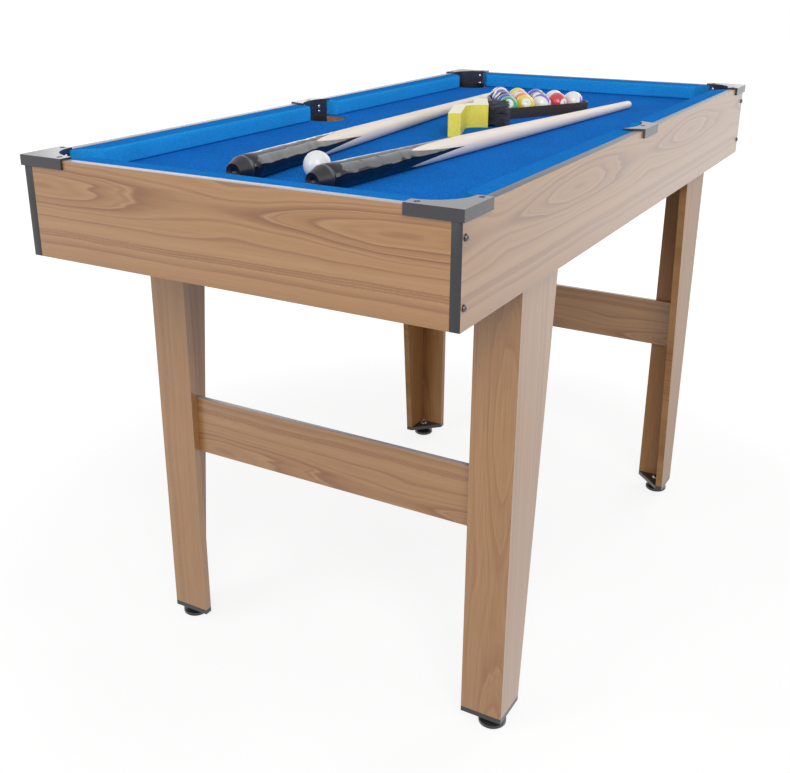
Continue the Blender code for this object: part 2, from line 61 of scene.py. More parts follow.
# Colours, linear
WHITE = (1.0, 1.0, 1.0, 1.0)
WOOD_BASE = (0.360, 0.179, 0.065)
WOOD_DARK = (0.225, 0.084, 0.020)
WOOD_PALE = (0.420, 0.240, 0.112)
BED_BLUE = (0.0092, 0.152, 0.545)
# The cushion blue is lighter and more cyan than the bed's: partly the rail cloth's own tone, partly painted light
# on the rails' noses
CUSHION_BLUE = (0.0145, 0.246, 0.620)
# Painted light: a lighter copy of the cushion blue for the left rails
LEFT_RAIL_LIT_BLUE = (0.0174, 0.283, 0.685)
# Painted shade laid on the upward-facing tops of the rails
RAIL_TOP_SHADE_BLUE = (0.0080, 0.180, 0.572)
LINT_BLUE = (0.05, 0.30, 0.70)
SHEEN_BLUE = (0.05, 0.30, 0.85)
BLACK_PLASTIC = (0.0145, 0.0140, 0.0225)
MAPLE_DARK, MAPLE_PALE = (0.745, 0.645, 0.560), (0.810, 0.720, 0.640)
LACQUER_DARK, LACQUER_PALE = (0.0030, 0.0040, 0.0090), (0.0050, 0.0065, 0.0140)
VENEER_BROWN = (0.14, 0.065, 0.018)
CHIP_DARK, CHIP_PALE = (0.30, 0.125, 0.035), (0.46, 0.215, 0.070)
BALL_WHITE = (0.76, 0.755, 0.74)
INK = (0.012, 0.012, 0.014)

# The printed grain: a chain of long ovals, then straighter lines.
# Each pair is a distance from the heart, in half widths of an oval, and how dark (or, below nought, pale) it is.
OVAL_PERIOD, OVAL_HALF, LINE_REACH = 0.515, 0.024, 3.9
GRAIN = ((0.0, 0.55), (0.09, 0.42), (0.22, 0.0), (0.40, 0.16), (0.555, -0.50), (0.585, 0.70), (0.61, 0.90),
         (0.67, 0.32), (0.79, 0.06), (0.815, 0.50), (0.855, -0.60), (0.882, 0.95), (0.91, 1.0), (0.97, 0.40),
         (1.08, -0.35), (1.15, 0.45), (1.21, -0.25), (1.42, 0.05), (1.55, -0.40), (1.59, 0.75), (1.68, 0.05),
         (1.95, -0.45), (2.26, -0.10), (2.31, 0.80), (2.38, 0.10), (2.44, 0.85), (2.50, 0.10), (2.56, 0.70),
         (2.64, -0.35), (3.00, 0.60), (3.07, -0.15), (3.90, 0.25))
# Where the band of close pores begins, is full, thins out and ends, in the same measure
PORED_LINES = (2.18, 2.30, 2.58, 2.72)
# Noise in the grain, in cycles along it (per metre) and across it (per metre, or per half width of an oval)
SWAY, DRIFT, FINE, WEIGHT = (5.0, 75.0), (6.0, 16.0), (5.0, 12.0), (4.0, 45.0)
DASHES, STREAK, FIBRE = (210.0, 900.0), (5.0, 30.0), (14.0, 460.0)
# How far the noise pushes the lines: along the grain at an oval's pointed and at its wavering end, and across it,
# in metres, and from line to line, in half widths; then the powers that shape the two ends
PUSH_POINTED, PUSH_WAVERING, PUSH_ACROSS, PUSH_LINES = 0.020, 0.105, 0.011, 0.05
POINTED, BLUNT = 1.65, 2.8


class Graph:
    """Short-hand for the nodes of one material or of the world."""

    def __init__(self, owner):
        owner.use_nodes = True
        self.owner = owner
        self.tree = owner.node_tree
        self.shader = self.tree.nodes.get("Principled BSDF")

    def node(self, kind, inputs=(), **settings):
        made = self.tree.nodes.new("ShaderNode" + kind)
        for key, value in settings.items():
            setattr(made, key, value)
        for key, value in dict(inputs).items():
            self.feed(made.inputs[key], value)
        return made

    def feed(self, socket, value):
        if isinstance(value, bpy.types.NodeSocket):
            self.tree.links.new(value, socket)
        else:
            socket.default_value = value

    def math(self, operation, a, b=0.0, c=0.0):
        return self.node("Math", {0: a, 1: b, 2: c}, operation=operation).outputs[0]

    def join(self, x, y, z=0.0):
        return self.node("CombineXYZ", {0: x, 1: y, 2: z}).outputs[0]

    def split(self, vector):
        return self.node("SeparateXYZ", {0: vector}).outputs

    def place(self):
        return self.node("TexCoord").outputs["Object"]

    def upward(self):
        """How far the surface faces up, from -1 to 1."""
        return self.split(self.node("TexCoord").outputs["Normal"])[Z]

    def noise(self, vector, scale, detail=2.0, rough=0.5):
        inputs = {"Vector": vector, "Scale": scale, "Detail": detail, "Roughness": rough}
        return self.node("TexNoise", inputs).outputs["Fac"]

    def stretched(self, u, w, cycles, depth, detail=2.0):
        """Noise drawn out along the grain."""
        along, across = cycles
        lane = self.join(self.math("MULTIPLY", u, along), self.math("MULTIPLY", w, across), depth)
        return self.noise(lane, 1.0, detail)

    def span(self, value, low, high, out_low=0.0, out_high=1.0):
        """A smooth step from one level to another."""
        inputs = {0: value, 1: low, 2: high, 3: out_low, 4: out_high}
        return self.node("MapRange", inputs, interpolation_type="SMOOTHSTEP").outputs[0]

    def ramp(self, value, stops):
        made = self.node("ValToRGB", {0: value})
        marks = made.color_ramp.elements
        marks[0].position, marks[1].position = stops[0][0], stops[-1][0]
        marks[0].color, marks[1].color = (*stops[0][1], 1.0), (*stops[-1][1], 1.0)
        for spot, colour in stops[1:-1]:
            marks.new(spot).color = (*colour, 1.0)
        return made.outputs[0]

    def mix(self, share, a, b, blend="MIX"):
        made = self.node("Mix", data_type="RGBA", blend_type=blend)
        for socket, value in zip((made.inputs[0], made.inputs[6], made.inputs[7]), (share, a, b)):
            if isinstance(value, tuple):
                value = (*value, 1.0)
            self.feed(socket, value)
        return made.outputs[2]

    def shade(self, colour, amount):
        """A colour made darker or lighter by a number near one."""
        return self.mix(1.0, colour, self.join(amount, amount, amount), "MULTIPLY")

    def drifting(self, colour, low=0.97, high=1.03):
        """A colour that differs slightly over the surface."""
        slow = self.span(self.noise(self.place(), 9.0, 1.0), 0.3, 0.7)
        return self.mix(slow, tuple(c * low for c in colour), tuple(min(1.0, c * high) for c in colour))

    def shown(self):
        """One for rays that see the backdrop: from the camera, off gloss or through glass."""
        path = self.node("LightPath").outputs
        either = self.math("MAXIMUM", path["Is Camera Ray"], path["Is Glossy Ray"])
        return self.math("MAXIMUM", either, path["Is Transmission Ray"])

    def bump(self, height, distance, strength):
        made = self.node("Bump", {"Height": height, "Distance": distance, "Strength": strength})
        self.feed(self.shader.inputs["Normal"], made.outputs[0])

    def done(self, **values):
        for key, value in values.items():
            if isinstance(value, tuple):
                value = (*value, 1.0)
            self.feed(self.shader.inputs[key.replace("_", " ")], value)
        return self.owner


def new_finish(name):
    return Graph(bpy.data.materials.new(name))


def toned(amount):
    """The wood's colour for a line of the grain: above nought darker, below it paler."""
    other = WOOD_DARK if amount > 0 else WOOD_PALE
    return tuple(base * (end / base) ** abs(amount) for base, end in zip(WOOD_BASE, other))


def wood(name, along, across, u0, w0, seed, figure=1.0, coat=1.0, shine=0.5, strokes=0.025):
    """Printed oak laminate: long ovals with a pointed and a wavering end, straight pored lines beside them.

    The grain runs along one axis; (u0, w0) is the heart of one oval. figure is the strength of the lines and
    strokes that of the fibres.
    """
    g = new_finish(name)
    axes = g.split(g.place())
    u, w = axes[along], axes[across]
    # Which end of an oval this is, from the pointed to the wavering one, and how far the lines are pushed there
    side = g.math("SINE", g.math("MULTIPLY", g.math("SUBTRACT", u, u0), 2 * math.pi / OVAL_PERIOD))
    sway = g.math("SUBTRACT", g.stretched(u, w, SWAY, seed, 1.0), 0.5)
    shift = g.math("MULTIPLY", sway, g.span(side, -0.5, 0.6, PUSH_POINTED, PUSH_WAVERING))
    # Distance from the heart: across the grain, along it, and both together
    drift = g.math("SUBTRACT", g.stretched(u, w, DRIFT, seed + 2.0), 0.5)
    level = g.math("MULTIPLY_ADD", drift, PUSH_ACROSS, g.math("SUBTRACT", w, w0))
    level = g.math("ABSOLUTE", g.math("DIVIDE", level, OVAL_HALF))
    turn = g.math("MULTIPLY", g.math("ADD", g.math("SUBTRACT", u, u0), shift), math.pi / OVAL_PERIOD)
    chain = g.math("ABSOLUTE", g.math("SINE", turn))
    chain = g.math("MULTIPLY", chain, g.span(level, 0.9, 2.3, 1.0, 0.0))
    power = g.span(side, -0.6, 0.6, POINTED, BLUNT)
    total = g.math("ADD", g.math("POWER", level, power), g.math("POWER", chain, power))
    reach = g.math("POWER", total, g.math("DIVIDE", 1.0, power))
    # Far from the heart the lines are gone through there and back
    outside = g.math("MAXIMUM", g.math("SUBTRACT", reach, 1.0), 0.0)
    reach = g.math("ADD", g.math("MINIMUM", reach, 1.0), g.math("PINGPONG", outside, LINE_REACH - 1.0))
    fine = g.math("SUBTRACT", g.stretched(u, reach, FINE, seed + 3.0, 1.0), 0.5)
    spot = g.math("DIVIDE", g.math("MULTIPLY_ADD", fine, PUSH_LINES, reach), LINE_REACH)
    printed = g.ramp(spot, [(r / LINE_REACH, toned(dark * figure)) for r, dark in GRAIN])
    weight = g.span(g.stretched(u, w, WEIGHT, seed + 7.0), 0.30, 0.62, 0.72, 1.0)
    colour = g.mix(weight, toned(0.06), printed)
    # Pores: short dashes, close together in one band of lines
    rise, full, fall, end = PORED_LINES
    band = g.math("MULTIPLY", g.span(reach, rise, full), g.span(reach, fall, end, 1.0, 0.0))
    dashes = g.span(g.stretched(u, w, DASHES, seed + 9.0), 0.54, 0.66)
    pores = g.math("MULTIPLY", dashes, g.math("MULTIPLY_ADD", band, 0.70, 0.02))
    colour = g.mix(pores, colour, WOOD_DARK)
    streak = g.stretched(u, reach, STREAK, seed + 11.0, 3.0)
    fibre = g.stretched(u, w, FIBRE, seed + 5.0, 3.0)
    tone = g.math("MULTIPLY", g.span(streak, 0.25, 0.75, 0.955, 1.045),
                  g.span(fibre, 0.3, 0.7, 1.0 - strokes, 1.0 + strokes))
    g.bump(g.math("SUBTRACT", 1.0, pores), 0.00004, 0.10)
    return g.done(Base_Color=g.shade(colour, tone), Roughness=g.span(streak, 0.3, 0.7, 0.29, 0.31),
                  Coat_Weight=coat, Coat_Roughness=0.36, Specular_IOR_Level=shine)


def felt(name, colour, pile, rough, top=None):
    """Napped billiard cloth: mottled fibres, a soft nap and faint lint; top is a painted shade for its
    upward-facing parts.
    """
    g = new_finish(name)
    spot = g.place()
    tufts = g.noise(spot, 380.0 * pile, 3.0, 0.7)
    fibre = g.noise(spot, 1700.0 * pile, 2.0, 0.6)
    cloud = g.span(g.noise(spot, 22.0, 2.0), 0.3, 0.7, 0.97, 1.03)
    tone = g.math("MULTIPLY", g.span(tufts, 0.28, 0.72, 1.0 - rough, 1.0 + rough), cloud)
    lint = g.span(g.noise(spot, 900.0, 1.0), 0.74, 0.80)
    dyed_and_shaded = g.drifting(colour)
    if top:
        # Painted shade: the parts that face up take the darker top blue
        dyed_and_shaded = g.mix(g.span(g.upward(), 0.75, 0.97), dyed_and_shaded, top)
    shaded = g.mix(g.math("MULTIPLY", lint, 0.15), g.shade(dyed_and_shaded, tone), LINT_BLUE)
    g.bump(g.math("ADD", g.math("MULTIPLY", tufts, 1.4), fibre), 0.0006, 0.55)
    return g.done(Base_Color=shaded, Roughness=0.95, Specular_IOR_Level=0.01, Sheen_Weight=0.02,
                  Sheen_Roughness=0.5, Sheen_Tint=SHEEN_BLUE)


def moulded(name, colour, roughness=0.45, grain=1300.0, depth=0.00012, scuff=0.25, coat=0.0):
    """Moulded plastic or rubber: fine spark texture, slight colour drift and scuffs."""
    g = new_finish(name)
    spot = g.place()
    texture = g.noise(spot, grain, 2.0, 0.6)
    scuffs = g.span(g.noise(spot, 95.0, 5.0, 0.7), 0.60, 0.78)
    shaded = g.shade(g.drifting(colour), g.span(texture, 0.3, 0.7, 0.90, 1.10))
    wear_and_highlight = tuple(min(1.0, c * 1.6 + 0.01) for c in colour)
    shaded = g.mix(g.math("MULTIPLY", scuffs, scuff), shaded, wear_and_highlight)
    rough = g.span(texture, 0.3, 0.7, roughness - 0.04, roughness + 0.05)
    g.bump(texture, depth, 0.35)
    return g.done(Base_Color=shaded, Roughness=g.math("MULTIPLY_ADD", scuffs, 0.12, rough),
                  Coat_Weight=coat, Coat_Roughness=0.25)


def metal(name, colour, roughness):
    """Plated steel with turning marks and small scratches."""
    g = new_finish(name)
    scratches = g.noise(g.place(), 2600.0, 3.0, 0.7)
    shaded = g.shade(g.drifting(colour), g.span(scratches, 0.3, 0.7, 0.86, 1.10))
    g.bump(scratches, 0.00005, 0.3)
    return g.done(Base_Color=shaded, Metallic=1.0,
                  Roughness=g.span(scratches, 0.3, 0.7, roughness - 0.06, roughness + 0.1))


def raw_board(name):
    """Cut edge and underside of particle board: pressed chips in light and dark brown."""
    g = new_finish(name)
    spot = g.place()
    chips = g.node("TexVoronoi", {"Vector": spot, "Scale": 420.0}).outputs["Color"]
    tone = g.split(chips)[0]
    cloud = g.span(g.noise(spot, 60.0), 0.3, 0.7, 0.88, 1.08)
    g.bump(tone, 0.0004, 0.4)
    return g.done(Base_Color=g.shade(g.mix(tone, CHIP_DARK, CHIP_PALE), cloud), Roughness=0.85)


def cue_wood(name):
    """Maple shaft spliced into a black lacquered butt with four points, edged by a thin brown veneer."""
    valley, point_length, turned_by, quarter_turn = 0.164, 0.127, 0.10, math.pi / 4
    g = new_finish(name)
    x, y, z = g.split(g.place())[:3]

    def lane(across, lengthwise):
        return g.join(g.math("MULTIPLY", x, across), g.math("MULTIPLY", y, across),
                      g.math("MULTIPLY", z, lengthwise))

    angle = g.math("ADD", g.math("ARCTAN2", y, x), turned_by)
    quarter = g.math("ABSOLUTE", g.math("WRAP", angle, quarter_turn, -quarter_turn))
    point = g.math("POWER", g.math("SUBTRACT", 1.0, g.math("DIVIDE", quarter, quarter_turn)), 1.5)
    ahead = g.math("SUBTRACT", z, g.math("MULTIPLY_ADD", point, point_length, valley))
    shaft = g.span(ahead, -0.0012, 0.0012)
    veneer = g.math("MULTIPLY", g.span(ahead, -0.006, -0.004), g.span(ahead, 0.0, 0.002, 1.0, 0.0))
    ring = g.span(g.noise(lane(260.0, 7.0), 1.0, 3.0), 0.3, 0.7)
    strands = g.noise(lane(1500.0, 22.0), 1.0, 2.0)
    maple = g.shade(g.mix(ring, MAPLE_DARK, MAPLE_PALE), g.span(strands, 0.25, 0.75, 0.96, 1.03))
    lacquer = g.mix(ring, LACQUER_DARK, LACQUER_PALE)
    colour = g.mix(g.math("MULTIPLY", veneer, 0.7), g.mix(shaft, lacquer, maple), VENEER_BROWN)
    ripple = g.noise(lane(60.0, 34.0), 1.0, 1.0)
    g.bump(g.math("MULTIPLY", ripple, g.math("SUBTRACT", 1.0, shaft)), 0.0036, 0.5)
    return g.done(Base_Color=colour, Roughness=g.span(shaft, 0.0, 1.0, 0.06, 0.55))


def ball_resin(name, colour, striped, turn):
    """Cast resin: a solid or striped colour with two white number discs, turned as the ball lies."""
    disc_edge, stripe_edge = (0.895, 0.903), (0.445, 0.460)
    g = new_finish(name)
    spot = g.place()
    local = g.node("Mapping", {"Vector": spot, "Rotation": turn.transposed().to_euler()}).outputs[0]
    _, y, z = g.split(g.node("VectorMath", {0: local}, operation="NORMALIZE").outputs[0])[:3]
    disc = g.span(g.math("ABSOLUTE", z), *disc_edge)
    veil = g.span(g.noise(spot, 160.0, 3.0), 0.3, 0.7)
    white = g.mix(veil, tuple(c * 0.97 for c in BALL_WHITE), BALL_WHITE)
    tint = g.mix(veil, tuple(c * 0.90 for c in colour), colour)
    if striped:
        tint = g.mix(g.span(g.math("ABSOLUTE", y), *stripe_edge), tint, white)
    rough = g.span(g.noise(spot, 700.0, 4.0), 0.35, 0.8, 0.07, 0.16)
    return g.done(Base_Color=g.mix(disc, tint, white), Roughness=rough, Coat_Weight=0.3, Coat_Roughness=0.04)


def cast(name, colour):
    """Plain cast resin with a faint cloud in it."""
    g = new_finish(name)
    cloud = g.span(g.noise(g.place(), 60.0, 2.0), 0.3, 0.7)
    shaded = g.mix(cloud, tuple(c * 0.98 for c in colour), tuple(c * 1.02 for c in colour))
    return g.done(Base_Color=shaded, Roughness=g.span(cloud, 0.0, 1.0, 0.20, 0.22))


def lacquered(name, colour, pale):
    """Painted brush handle: a thin even coat over close wood grain, with a painted highlight that makes its
    upward flat faces paler.
    """
    g = new_finish(name)
    stretch = g.node("Mapping", {"Vector": g.place(), "Scale": (300.0, 22.0, 300.0)}).outputs[0]
    grain = g.noise(stretch, 1.0, 3.0)
    # Painted highlight: the parts that face up are mixed towards the pale colour
    wear_and_highlight = g.math("MULTIPLY", g.span(g.upward(), 0.6, 0.9), 0.9)
    shaded = g.shade(g.mix(wear_and_highlight, g.drifting(colour), pale), g.span(grain, 0.3, 0.7, 0.95, 1.04))
    g.bump(grain, 0.00012, 0.25)
    return g.done(Base_Color=shaded, Roughness=g.span(grain, 0.3, 0.7, 0.28, 0.38))


def hair(name, colour):
    """Brush hair, each strand a little lighter or darker."""
    g = new_finish(name)
    strand = g.noise(g.place(), 900.0, 2.0)
    shaded = g.shade(g.drifting(colour), g.span(strand, 0.3, 0.7, 0.5, 1.6))
    return g.done(Base_Color=shaded, Roughness=g.span(strand, 0.3, 0.7, 0.42, 0.6))


def to_mesh(name, bm, material, smooth=False):
    mesh = bpy.data.meshes.new(name)
    bm.to_mesh(mesh)
    bm.free()
    for face in mesh.polygons:
        face.use_smooth = smooth
    mesh.materials.append(material)
    return mesh


def put(name, mesh, body, replaces=(), place=None):
    """An object of the part, in place and riding on its body."""
    made = bpy.data.objects.new(name, mesh)
    if place is not None:
        made.matrix_world = place
    bpy.context.scene.collection.objects.link(made)
    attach(made, body)
    if replaces:
        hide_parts(*replaces)
    return made


def piece(name, bm, material, body, replaces=(), place=None):
    """A smoothly shaded object of the part, made from a mesh in the making."""
    bmesh.ops.recalc_face_normals(bm, faces=bm.faces)
    return put(name, to_mesh(name, bm, material, smooth=True), body, replaces, place)


def dress(name, material):
    """A carried-over solid takes a finish."""
    made = nodes[name]
    made.data.materials.clear()
    made.data.materials.append(material)


def circle(radius, height, facets, centre=(0.0, 0.0)):
    return [(centre[0] + radius * math.cos(2 * math.pi * i / facets),
             centre[1] + radius * math.sin(2 * math.pi * i / facets), height) for i in range(facets)]


def lay(bm, spots):
    return [bm.verts.new(spot) for spot in spots]


def skin(bm, rows):
    """Faces between closed rows of points of equal length."""
    for a, b in zip(rows, rows[1:]):
        for i in range(len(a)):
            j = (i + 1) % len(a)
            bm.faces.new((a[i], a[j], b[j], b[i]))


def rim_edges(bm, row):
    return [bm.edges.get((row[i], row[(i + 1) % len(row)])) for i in range(len(row))]


def loft(rings):
    """A closed form through rings of equal length."""
    bm = bmesh.new()
    rows = [lay(bm, ring) for ring in rings]
    skin(bm, rows)
    bm.faces.new(rows[0])
    bm.faces.new(rows[-1])
    return bm


def turned(profile, facets):
    """A profile of (radius, height) pairs turned about Z; a zero radius closes an end."""
    bm = bmesh.new()
    points = [bm.verts.new((r, 0, z)) for r, z in profile]
    edges = [bm.edges.new(pair) for pair in zip(points, points[1:])]
    bmesh.ops.spin(bm, geom=points + edges, cent=(0, 0, 0), axis=(0, 0, 1), angle=2 * math.pi,
                   steps=facets, use_merge=True)
    bmesh.ops.remove_doubles(bm, verts=bm.verts, dist=1e-7)
    return bm


def slab(x0, x1, y0, y1, z0, z1, edge):
    """A board with its edges eased."""
    bm = bmesh.new()
    bmesh.ops.create_cube(bm, size=1.0)
    for vert in bm.verts:
        vert.co = ((x0 + x1) / 2 + vert.co.x * (x1 - x0), (y0 + y1) / 2 + vert.co.y * (y1 - y0),
                   (z0 + z1) / 2 + vert.co.z * (z1 - z0))
    bmesh.ops.bevel(bm, geom=bm.edges[:], offset=edge, segments=2, profile=0.5, affect="EDGES")
    return bm


def fastener(name, profile, recess, depth, material):
    """A screw head: a turned rim, a flat top and a sunk recess of the given outline."""
    facets, taper = 24, 0.7
    bm = bmesh.new()
    rows = [lay(bm, circle(r, z, facets)) for r, z in profile]
    skin(bm, rows)
    bm.faces.new(rows[0][::-1])
    top = profile[-1][1]
    rim = lay(bm, [(x, y, top) for x, y in recess])
    sunk = lay(bm, [(x * taper, y * taper, top - depth) for x, y in recess])
    skin(bm, [rim, sunk])
    bm.faces.new(sunk)
    bmesh.ops.triangle_fill(bm, edges=rim_edges(bm, rows[-1]) + rim_edges(bm, rim), use_beauty=True)
    bmesh.ops.recalc_face_normals(bm, faces=bm.faces)
    return to_mesh(name, bm, material)


def cross(arm, width):
    a, w = arm / 2, width / 2
    return [(a, -w), (a, w), (w, w), (w, a), (-w, a), (-w, w),
            (-a, w), (-a, -w), (-w, -w), (-w, -a), (w, -a), (w, -w)]


def hexagon(radius):
    return [(radius * math.cos(math.pi * i / 3), radius * math.sin(math.pi * i / 3)) for i in range(6)]


def facing(spot, way, roll):
    """Where a fastener sits: its foot at a point, its axis pointing a given way."""
    turn = Vector(way).to_track_quat("Z", "Y").to_matrix().to_4x4()
    return Matrix.Translation(spot) @ turn @ Matrix.Rotation(roll, 4, "Z")


# Finishes shared by several pieces
bed_felt = felt("bed_felt", BED_BLUE, pile=1.2, rough=0.30)
# The tops of the rails carry a painted shade, darker than their noses; the left rails' cloth is a lighter copy
# with painted light on it, so the tops look darkest against the noses on the left
cushion_felt = felt("cushion_felt", CUSHION_BLUE, pile=1.6, rough=0.22, top=RAIL_TOP_SHADE_BLUE)
left_lit_felt = felt("cushion_felt_left_lit", LEFT_RAIL_LIT_BLUE, pile=1.6, rough=0.22, top=RAIL_TOP_SHADE_BLUE)
plastic = moulded("pocket_plastic", BLACK_PLASTIC, 0.28, depth=0.00006, coat=0.5)
dark_band = moulded("edge_band_dark", (0.0245, 0.0240, 0.0300), 0.34)
grey_band = moulded("edge_band_grey", (0.090, 0.092, 0.114), 0.34)
pale_band = moulded("edge_band_pale", (0.375, 0.355, 0.368), 0.32)
foot_plastic = moulded("foot_plastic", (0.012, 0.012, 0.013), 0.36, depth=0.00006, coat=0.4)
bumper_rubber = moulded("bumper_rubber", (0.0052, 0.0048, 0.0085), 0.42, grain=900.0)
rack_plastic = moulded("rack_plastic", (0.036, 0.028, 0.027), 0.30)
zinc = metal("zinc_steel", (0.66, 0.66, 0.68), 0.24)
black_steel = metal("black_steel", (0.110, 0.110, 0.115), 0.20)
screw_black = moulded("screw_black", (0.004, 0.004, 0.005), 0.75)
board = raw_board("raw_board")

# Boards of the table: printed oak with the hearts of its ovals placed board by board
PANEL_HEART_Z, END_HEART_X, SIDE_HEART_Y = 0.735, 0.229, 0.230
LEG_END_HEART_Z, LEG_SIDE_HEART_Z, LEG_SIDE_HEART_Y = 0.454, 0.48, 0.465
LEG_HEART_NEAR, LEG_HEART_FAR = 0.270, 0.330
STRETCHER_HEART = (-0.170, 0.311)
# The back legs have a duller face than the front ones
FRONT_LEG = {"coat": 1.0, "shine": 0.5, "strokes": 0.08}
BACK_LEG = {"coat": 0.0, "shine": 0.35, "strokes": 0.08}
for end, sy in ENDS:
    dress(f"end_panel_{end}", wood(f"end_panel_oak_{end}", X, Z, sy * -END_HEART_X, PANEL_HEART_Z, 1.0 + sy,
                                   figure=1.15, strokes=0.05))
for side, sx in SIDES:
    dress(f"side_panel_{side}", wood(f"side_panel_oak_{side}", Y, Z, sx * SIDE_HEART_Y, PANEL_HEART_Z,
                                     4.0 + sx, figure=1.4))
for side, sx in SIDES:
    for end, sy in ENDS:
        seed = 10.0 + 2 * sx + sy
        heart = sx * (LEG_HEART_NEAR if sx == -sy else LEG_HEART_FAR)
        leg = FRONT_LEG if sy < 0 else BACK_LEG
        dress(f"leg_end_{side}_{end}", wood(f"leg_end_oak_{side}_{end}", Z, X, LEG_END_HEART_Z, heart, seed,
                                            figure=0.45, **leg))
        dress(f"leg_side_{side}_{end}", wood(f"leg_side_oak_{side}_{end}", Z, Y, LEG_SIDE_HEART_Z,
                                             sy * LEG_SIDE_HEART_Y, seed + 20.0, figure=0.6, **leg))
for end, sy in ENDS:
    dress(f"stretcher_{end}", wood(f"stretcher_oak_{end}", X, Z, *STRETCHER_HEART, 30.0 + sy, strokes=0.06))
dress("bed_board", board)
dress("bed_stiffener", board)
for side, _ in SIDES:
    for spot in ("front", "middle", "back"):
        dress(f"pocket_{side}_{spot}", plastic)
    for end, _ in ENDS:
        dress(f"foot_plate_{side}_{end}", foot_plastic)
        dress(f"levelling_foot_{side}_{end}", foot_plastic)
dress("rack", rack_plastic)

# Edge bands: along the tops of the panels, pale on the left and front and grey on the right and back, and pale on
# the front stretcher; dark on the ends of the side panels
BAND = 0.0002
BAND_EASE = BAND * 0.4
BAND_GAP = 0.0003
for side, sx in SIDES:
    xs = sorted((sx * INNER_X, sx * PANEL_X))
    piece(f"top_band_{side}", slab(*xs, -PANEL_Y, PANEL_Y, RAIL_TOP, RAIL_TOP + BAND, BAND_EASE),
          grey_band if sx > 0 else pale_band, "table")
    for end, sy in ENDS:
        ys = sorted((sy * PANEL_Y, sy * (PANEL_Y + BAND)))
        piece(f"end_band_{side}_{end}", slab(*xs, *ys, PANEL_LOW, RAIL_TOP, BAND_EASE), dark_band, "table")
for end, sy in ENDS:
    ys = sorted((sy * INNER_Y, sy * PANEL_Y))
    half = INNER_X - BAND_GAP
    piece(f"top_band_{end}", slab(-half, half, *ys, RAIL_TOP, RAIL_TOP + BAND, BAND_EASE),
          pale_band if sy < 0 else grey_band, "table")
piece("stretcher_band_front", slab(-STRETCHER_HALF, STRETCHER_HALF, -STRETCHER_OUT, -STRETCHER_IN,
                                   STRETCHER_TOP, STRETCHER_TOP + BAND, BAND_EASE),
      pale_band, "table")

# Bed cloth: one stretched sheet, rolled over the edge of each pocket hole (further out, and lower down)
ROLL = ((0.0014, 0.0), (0.0007, -0.00012), (0.0002, -0.00040), (0.0, -0.0009))
HOLE_FACETS = 48
CLOTH_GAP = 0.0001
holes = [(sx * CORNER_CUP[0], sy * CORNER_CUP[1]) for sx in (-1, 1) for sy in (-1, 1)]
holes += [(sx * SIDE_CUP, 0.0) for sx in (-1, 1)]
bm = bmesh.new()
corners = ((-BED_X, -BED_Y), (BED_X, -BED_Y), (BED_X, BED_Y), (-BED_X, BED_Y))
rim = lay(bm, [(x, y, CLOTH_TOP) for x, y in corners])
flat_edges = [bm.edges.new((rim[i], rim[(i + 1) % 4])) for i in range(4)]
for hole in holes:
    rows = [lay(bm, circle(HOLE_R + out, CLOTH_TOP + drop, HOLE_FACETS, hole)) for out, drop in ROLL]
    skin(bm, rows)
    flat_edges += rim_edges(bm, rows[0])
bmesh.ops.triangle_fill(bm, edges=flat_edges, use_beauty=True)
for face in bm.faces:
    if face.normal.z < 0:
        face.normal_flip()
cloth = piece("bed_cloth_sheet", bm, bed_felt, "table", replaces=["bed_cloth"])
thick = cloth.modifiers.new("thickness", "SOLIDIFY")
thick.thickness = CLOTH_TOP - CLOTH_LOW - CLOTH_GAP
thick.offset = -1.0

# Cushions: rubber under stretched cloth, bulging at the nose, flat on top, folded in at the cut ends.
# The section runs from the nose to the back and from the bed up, in millimetres.
CUSHION = ((0.9, 0.0), (0.35, 1.2), (0.08, 4.0), (0.0, 9.0), (0.0, 15.0), (0.1, 19.0), (0.75, 22.3), (2.2, 24.1),
           (4.6, 24.62), (9.0, 24.7), (16.0, 24.7), (23.0, 24.7), (28.0, 24.7), (30.0, 24.7), (30.15, 24.7),
           (30.15, 24.4), (30.15, 17.0), (30.15, 8.0), (30.15, 0.0), (20.0, 0.0), (10.0, 0.0))
CUSHION_DEEP, CUSHION_MIDDLE = 30.2, (15.0, 12.3)
# How far from a cut end, in metres, and how far the cloth is drawn in there, in millimetres
END_STEPS = ((0.0, 0.9), (0.00015, 0.4), (0.0006, 0.12), (0.0018, 0.0))
END_MARGIN, STATIONS = 0.006, 26
FOLD_SHARE, FOLD_STEP = 0.35, 2.4
# Where the cushions end, at the nose and at the back
END_NOSE, END_BACK = 0.2165, 0.2384
SIDE_NOSE, SIDE_BACK = (0.042, 0.5145), (0.0365, 0.5465)


def cushion(name, nose_a, nose_b, back_b, back_a, node, cover):
    nose_a, nose_b, back_a, back_b = (Vector((*spot, 0)) for spot in (nose_a, nose_b, back_a, back_b))
    length = (nose_b - nose_a).length
    stations = [(s / length, pull) for s, pull in END_STEPS]
    stations += [(END_MARGIN / length + (1 - 2 * END_MARGIN / length) * i / STATIONS, 0.0)
                 for i in range(STATIONS + 1)]
    stations += [(1 - s / length, pull) for s, pull in reversed(END_STEPS)]
    rings = []
    for t, pull in stations:
        ring = []
        for k, (w, h) in enumerate(CUSHION):
            inward = Vector((CUSHION_MIDDLE[0] - w, CUSHION_MIDDLE[1] - h)).normalized()
            fold = pull * (1.0 + FOLD_SHARE * math.sin(FOLD_STEP * k))
            share = (w + inward.x * fold) / CUSHION_DEEP
            rise = max(0.0, h + inward.y * fold)
            spot = nose_a.lerp(back_a, share).lerp(nose_b.lerp(back_b, share), t)
            ring.append(spot + Vector((0, 0, PLAY_Z + rise / 1000)))
        rings.append(ring)
    made = piece(name, loft(rings), cover, "table", replaces=[node])
    rounded = made.modifiers.new("smooth", "SUBSURF")
    rounded.levels = 1
    rounded.render_levels = 1


